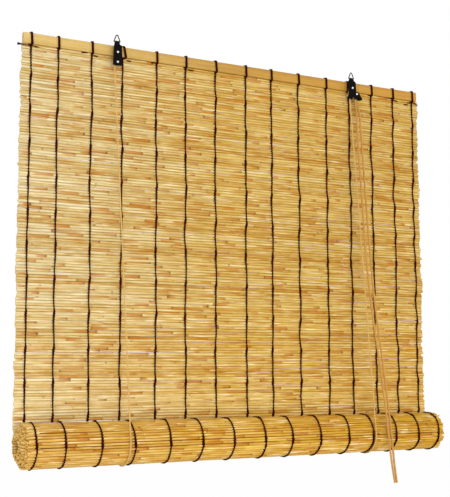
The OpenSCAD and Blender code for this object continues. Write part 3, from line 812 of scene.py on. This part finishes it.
def tied_ends():
    """Ends of the outermost warps past the mat's edges, the left one with a fat sealed tip."""
    shape = Shape()
    low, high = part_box("tie_ends")
    y, z = (low.y + high.y) / 2, (low.z + high.z) / 2
    first, last = HANG_X[0], HANG_X[-1]
    for x, drops in (
        (first, ((-25, 0.6), (-12, 0.2), (0, 0), (7, 0), (13, -0.8))),
        (last, ((-5, 0.5), (0, 0), (7, -0.5), (12, -2.2), (17, -4.6))),
    ):
        route = smoothed([Vector((x + along * MM, y, z + drop * MM)) for along, drop in drops])
        shape.rope(route, 1.1 * MM, 2, 6 * MM, 5)
    tip = [Vector((low.x + along * MM, y, z + 0.5 * MM)) for along in (0, 2, 4, 6.5, 11)]
    shape.tube(tip, 2.5 * MM, 10, 1.0, 1.0 * MM)
    made = shape.piece("tied_ends", TWINE, "headrail")
    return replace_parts(made, "tie_ends")


def roll_twine():
    """Twine round the outer turn of the roll."""
    shape = Shape()
    turn = [k for k in range(ROLLED_REEDS) if roll_angle(k) < TWINED_TURN]
    for i, hang in enumerate(HANG_X):
        x = hang + roll_inset(hang)
        stops = []
        for k in turn:
            angle = roll_angle(k)
            out = Vector((0, math.cos(angle), -math.sin(angle)))
            wander = drift(i * 5.1, angle * 0.8, 7.0, 2.4 * MM) + drift(i, k * 0.7, 3.0, 0.6 * MM)
            sway = min(1.0, k / 4) * wander
            stops.append((Vector((x + sway, *roll_point(angle, x))), out))
        for which in (0, 1):
            shape.tube(twine_strand(stops, which), strand_radius(i), STRAND_SIDES, STRAND_FLAT)
    made = shape.piece("roll_twine", TWINE, "roll")
    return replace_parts(made, "roll_warps")


# Lift cords and pull strands
LEFT_CORD_X = sum(c.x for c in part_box("left_lift_bight")) / 2
RIGHT_CORD_X = -LEFT_CORD_X
LEFT_KNOT_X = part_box("left_lift_back")[0].x + KNOT_R
RIGHT_KNOT_X = -LEFT_KNOT_X
BIGHT_R = ROLL_AXIS.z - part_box("left_lift_bight")[0].z - CORD_R
BACK_CORD_Y = BATTEN_HIGH.y + SEAM_GAP + CORD_R
STAPLE_Z = sum(c.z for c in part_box("cord_staples")) / 2


def tangent_angle(x, y, z, side):
    """Angle where a straight cord from a point meets the bight, side 1 in front and -1 behind."""
    dy, dz = y - roll_middle(x), z - ROLL_AXIS.z
    r = (BIGHT_R - BIGHT_SINK) * roll_slack(x)
    return math.atan2(dz, dy) + side * math.acos(r / math.hypot(dy, dz))


def bight_point(x, angle):
    """Place on the bight, which follows the roll's spiral from the back round to the front."""
    turned = -angle if angle < math.pi / 2 else 2 * math.pi - angle
    r = (BIGHT_R - BIGHT_SINK - GROWTH * turned) * roll_slack(x)
    return Vector((x, roll_middle(x) + r * math.cos(angle), ROLL_AXIS.z + r * math.sin(angle)))


def over_pulley(pulley, y):
    """Cord over a pulley, from its left side to its right."""
    turns = [math.pi * (1 - k / 8) for k in range(9)]
    return [Vector((pulley.x + LANE_R * math.cos(a), y, pulley.z + LANE_R * math.sin(a))) for a in turns]


def lift_run(name, top, foot, node):
    """Straight run of a lift cord from its top down to the roll."""
    shape = Shape()
    shape.rope([top, foot], CORD_R)
    made = shape.piece(name, LIFT_CORD, "headrail")
    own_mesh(made)
    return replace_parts(made, node)


def lift_cord(hand, x, knot_x, pulley, lane):
    """Front run, bight under the roll and back run of one lift cord."""
    front = tangent_angle(x, lane, pulley.z, 1)
    back = tangent_angle(x, BACK_CORD_Y, STAPLE_Z, -1)
    front_top = Vector((pulley.x - LANE_R, lane, pulley.z))
    lift_run(f"{hand}_front_run", front_top, bight_point(x, front), f"{hand}_lift_front")
    back_top = Vector((knot_x, BACK_CORD_Y, STAPLE_Z))
    lift_run(f"{hand}_back_run", back_top, bight_point(x, back), f"{hand}_lift_back")
    shape = Shape()
    shape.rope([bight_point(x, front + (back + 2 * math.pi - front) * k / 40) for k in range(41)], CORD_R)
    made = shape.piece(f"{hand}_bight", LIFT_CORD, "lift_cradle")
    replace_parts(made, f"{hand}_lift_bight")


def stopper_knots():
    """Overhand knots of the lift cords above their staples."""
    shape = Shape()
    size = 0.85 * MM
    for x in (LEFT_KNOT_X, RIGHT_KNOT_X):
        centre = Vector((x, BACK_CORD_Y + 1.2 * MM, STAPLE_Z + 4.2 * MM))
        turns = [2 * math.pi * k / 36 for k in range(37)]
        shape.tube([centre + size * Vector((
            math.sin(t) + 2 * math.sin(2 * t), -1.6 * math.sin(3 * t), math.cos(t) - 2 * math.cos(2 * t)
        )) for t in turns], 0.75 * CORD_R, 8)
        shape.rope([Vector((x, BACK_CORD_Y, STAPLE_Z - 1 * MM)), centre], CORD_R)
    return shape.piece("stopper_knots", LIFT_CORD, "headrail")


def cross_cord():
    """The left lift cord over its pulley, through the mat, along its back and over the right pulley."""
    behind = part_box("cross_cord")[1].y - CORD_R
    left_x = LEFT_PULLEY.x + CORD_PASS
    right_x = RIGHT_PULLEY.x - CORD_PASS
    left_z = LEFT_PULLEY.z - 4.2 * MM
    right_z = BATTEN_LOW.z - 11 * MM
    sag = 3 * MM
    route = over_pulley(LEFT_PULLEY, 0)
    route += [Vector(p) for p in (
        (left_x - 1.4 * MM, 0.6 * MM, LEFT_PULLEY.z - 2 * MM),
        (left_x - 0.4 * MM, 2.4 * MM, left_z + 0.8 * MM),
        (left_x, 5 * MM, left_z),
        (left_x, MAT_Y, left_z),
        (left_x + 1 * MM, behind - 2.4 * MM, left_z),
        (left_x + 4 * MM, behind, left_z),
        (left_x + 12 * MM, behind, left_z),
        (0, behind, (left_z + right_z) / 2 - sag),
        (right_x - 12 * MM, behind, right_z),
        (right_x - 4 * MM, behind, right_z),
        (right_x - 1 * MM, behind - 2.4 * MM, right_z),
        (right_x, MAT_Y, right_z),
        (right_x, 5 * MM, right_z),
        (right_x, 2 * MM, right_z + 1.6 * MM),
        (right_x, -0.6 * MM, right_z + 5 * MM),
        (right_x + 0.4 * MM, -LANE_Y, right_z + 9 * MM),
    )]
    route += over_pulley(RIGHT_PULLEY, -LANE_Y)
    shape = Shape()
    shape.rope(smoothed(route, 6), CORD_R)
    made = shape.piece("cross_run", LIFT_CORD, "headrail")
    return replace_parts(made, "cross_cord")


def lock_cords():
    """Cord turns over the right pulley and the strands' tops, down to below the lock."""
    shape = Shape()
    shape.rope(over_pulley(RIGHT_PULLEY, LANE_Y), CORD_R)
    x = RIGHT_PULLEY.x + LANE_R
    for lane, route in ((-LANE_Y, FRONT_STRAND_ROUTE), (LANE_Y, BACK_STRAND_ROUTE)):
        points = in_metres(route)
        start = [
            Vector((x, lane, RIGHT_PULLEY.z)),
            Vector((x, lane, RIGHT_PULLEY.z - 8 * MM)),
            Vector((x + 0.1 * MM, lane, LOCK_PIVOT.z - 4 * MM)),
        ]
        whole = smoothed(start + points[:2])
        shape.rope(whole[:-4], CORD_R)
    made = shape.piece("lock_cords", LIFT_CORD, "headrail")
    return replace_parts(made, "right_lift_turn")


def pull_strand(name, node, route):
    """Free length of a pull strand: a run down to the roll, and a tail that lies on the roll."""
    steps = 6
    points = smoothed(in_metres(route), steps)
    split = ROLL_CONTACT * steps
    runs = []
    for part, path in (("run", points[:split + 1]), ("tail", points[split:])):
        shape = Shape()
        shape.rope(path, FREE_CORD_R)
        body = "headrail" if part == "run" else "lift_cradle"
        made = shape.piece(f"{name}_{part}", PULL_CORD, body)
        runs.append(made)
    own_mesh(runs[0])
    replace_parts(runs[0], node)


# Carried-over solids
def dress(material, *names):
    """Gives solids of the frame their material."""
    for name in names:
        solid = frame["nodes"][name]
        solid.data.materials.clear()
        solid.data.materials.append(material)


# Camera, light and stage
def photo_camera():
    """Camera as fitted to the photograph."""
    data = bpy.data.cameras.new("camera")
    data.sensor_width = 36
    data.lens = 73.89
    made = bpy.data.objects.new("camera", data)
    right = Vector((0.88170639, -0.47178876, -0.00303352))
    down = Vector((0.05230619, 0.10413889, -0.99318636))
    forward = Vector((0.46889007, 0.87554009, 0.11649739))
    made.matrix_world = Matrix.Translation((-0.9776, -1.7533, -0.6287)) @ Matrix(
        (right, -down, -forward)
    ).transposed().to_4x4()
    bpy.context.scene.collection.objects.link(made)
    bpy.context.scene.camera = made


def area_light(name, place, target, size, power):
    data = bpy.data.lights.new(name, "AREA")
    data.size = size
    data.energy = power
    made = bpy.data.objects.new(name, data)
    made.location = place
    made.rotation_euler = (Vector(target) - Vector(place)).to_track_quat("-Z", "Y").to_euler()
    bpy.context.scene.collection.objects.link(made)


def seen_white(tree):
    """1 for rays that should see a white background."""
    path = tree.nodes.new("ShaderNodeLightPath")
    total = path.outputs["Is Camera Ray"]
    for name in ("Is Glossy Ray", "Is Transmission Ray"):
        add = tree.nodes.new("ShaderNodeMath")
        add.operation = "MAXIMUM"
        tree.links.new(total, add.inputs[0])
        tree.links.new(path.outputs[name], add.inputs[1])
        total = add.outputs[0]
    return total


def white_world():
    """White surroundings that light the blind a little less than they show."""
    world = bpy.data.worlds.new("world")
    bpy.context.scene.world = world
    world.use_nodes = True
    tree = world.node_tree
    background = tree.nodes["Background"]
    strength = tree.nodes.new("ShaderNodeMapRange")
    strength.inputs["To Min"].default_value = 0.7
    strength.inputs["To Max"].default_value = 1.0
    tree.links.new(seen_white(tree), strength.inputs[0])
    tree.links.new(strength.outputs[0], background.inputs["Strength"])
    background.inputs["Color"].default_value = (1, 1, 1, 1)


def pale_floor():
    """Floor that shows almost white and keeps a faint shadow."""
    mesh = bpy.data.meshes.new("floor")
    half, z = 14.0, -1.45
    corners = [(-half, -half, z), (half, -half, z), (half, half, z), (-half, half, z)]
    mesh.from_pydata(corners, [], [(0, 1, 2, 3)])
    made = bpy.data.objects.new("floor", mesh)
    bpy.context.scene.collection.objects.link(made)
    g = Graph("pale_floor")
    g.finish((0.9, 0.9, 0.9, 1), 0.9)
    glow = g.node("Emission", {"Color": (1, 1, 1, 1), "Strength": 1.0})
    share = g.math("MULTIPLY", seen_white(g.tree), 0.97)
    mixed = g.node("MixShader", {0: share, 1: g.shader.outputs[0], 2: glow.outputs[0]})
    g.tree.links.new(mixed.outputs[0], g.tree.nodes["Material Output"].inputs["Surface"])
    mesh.materials.append(g.material)


photo_camera()
pull_strand("front_strand", "front_pull_strand", FRONT_STRAND_ROUTE)
pull_strand("back_strand", "back_pull_strand", BACK_STRAND_ROUTE)
lock_cords()
lift_cord("left", LEFT_CORD_X + LEFT_CORD_SHIFT, LEFT_KNOT_X, LEFT_PULLEY, 0.0)
lift_cord("right", RIGHT_CORD_X, RIGHT_KNOT_X, RIGHT_PULLEY, LANE_Y)
stopper_knots()
cross_cord()

hanging_reeds()
rolled_reeds()
for warp in range(len(HANG_X)):
    warp_twine(warp)
warp_loops()
tied_ends()
roll_twine()

dress(WOOD, "head_batten", "bottom_batten")
dress(BLACK, "left_hanger", "right_hanger", "left_ring", "right_ring", "lock_lever")
dress(RIVET, "left_fixing_rivet", "left_axle_rivet", "right_fixing_rivet", "lock_pivot_rivet")
dress(STAPLE, "cord_staples")
dress(PLASTIC, "left_pulley", "right_pulley")

area_light("key", (-0.3, -2.7, 0.1), (0, 0, -0.45), 2.0, 34)
area_light("fill", (2.0, -2.0, -0.4), (0, 0, -0.4), 2.4, 14)
area_light("left", (-2.4, -1.2, -1.0), (-0.4, 0, -0.7), 1.2, 18)
area_light("back", (0.3, 2.4, 0.8), (0, 0, -0.4), 1.6, 22)
white_world()
pale_floor()
bpy.context.scene.view_settings.view_transform = "Standard"
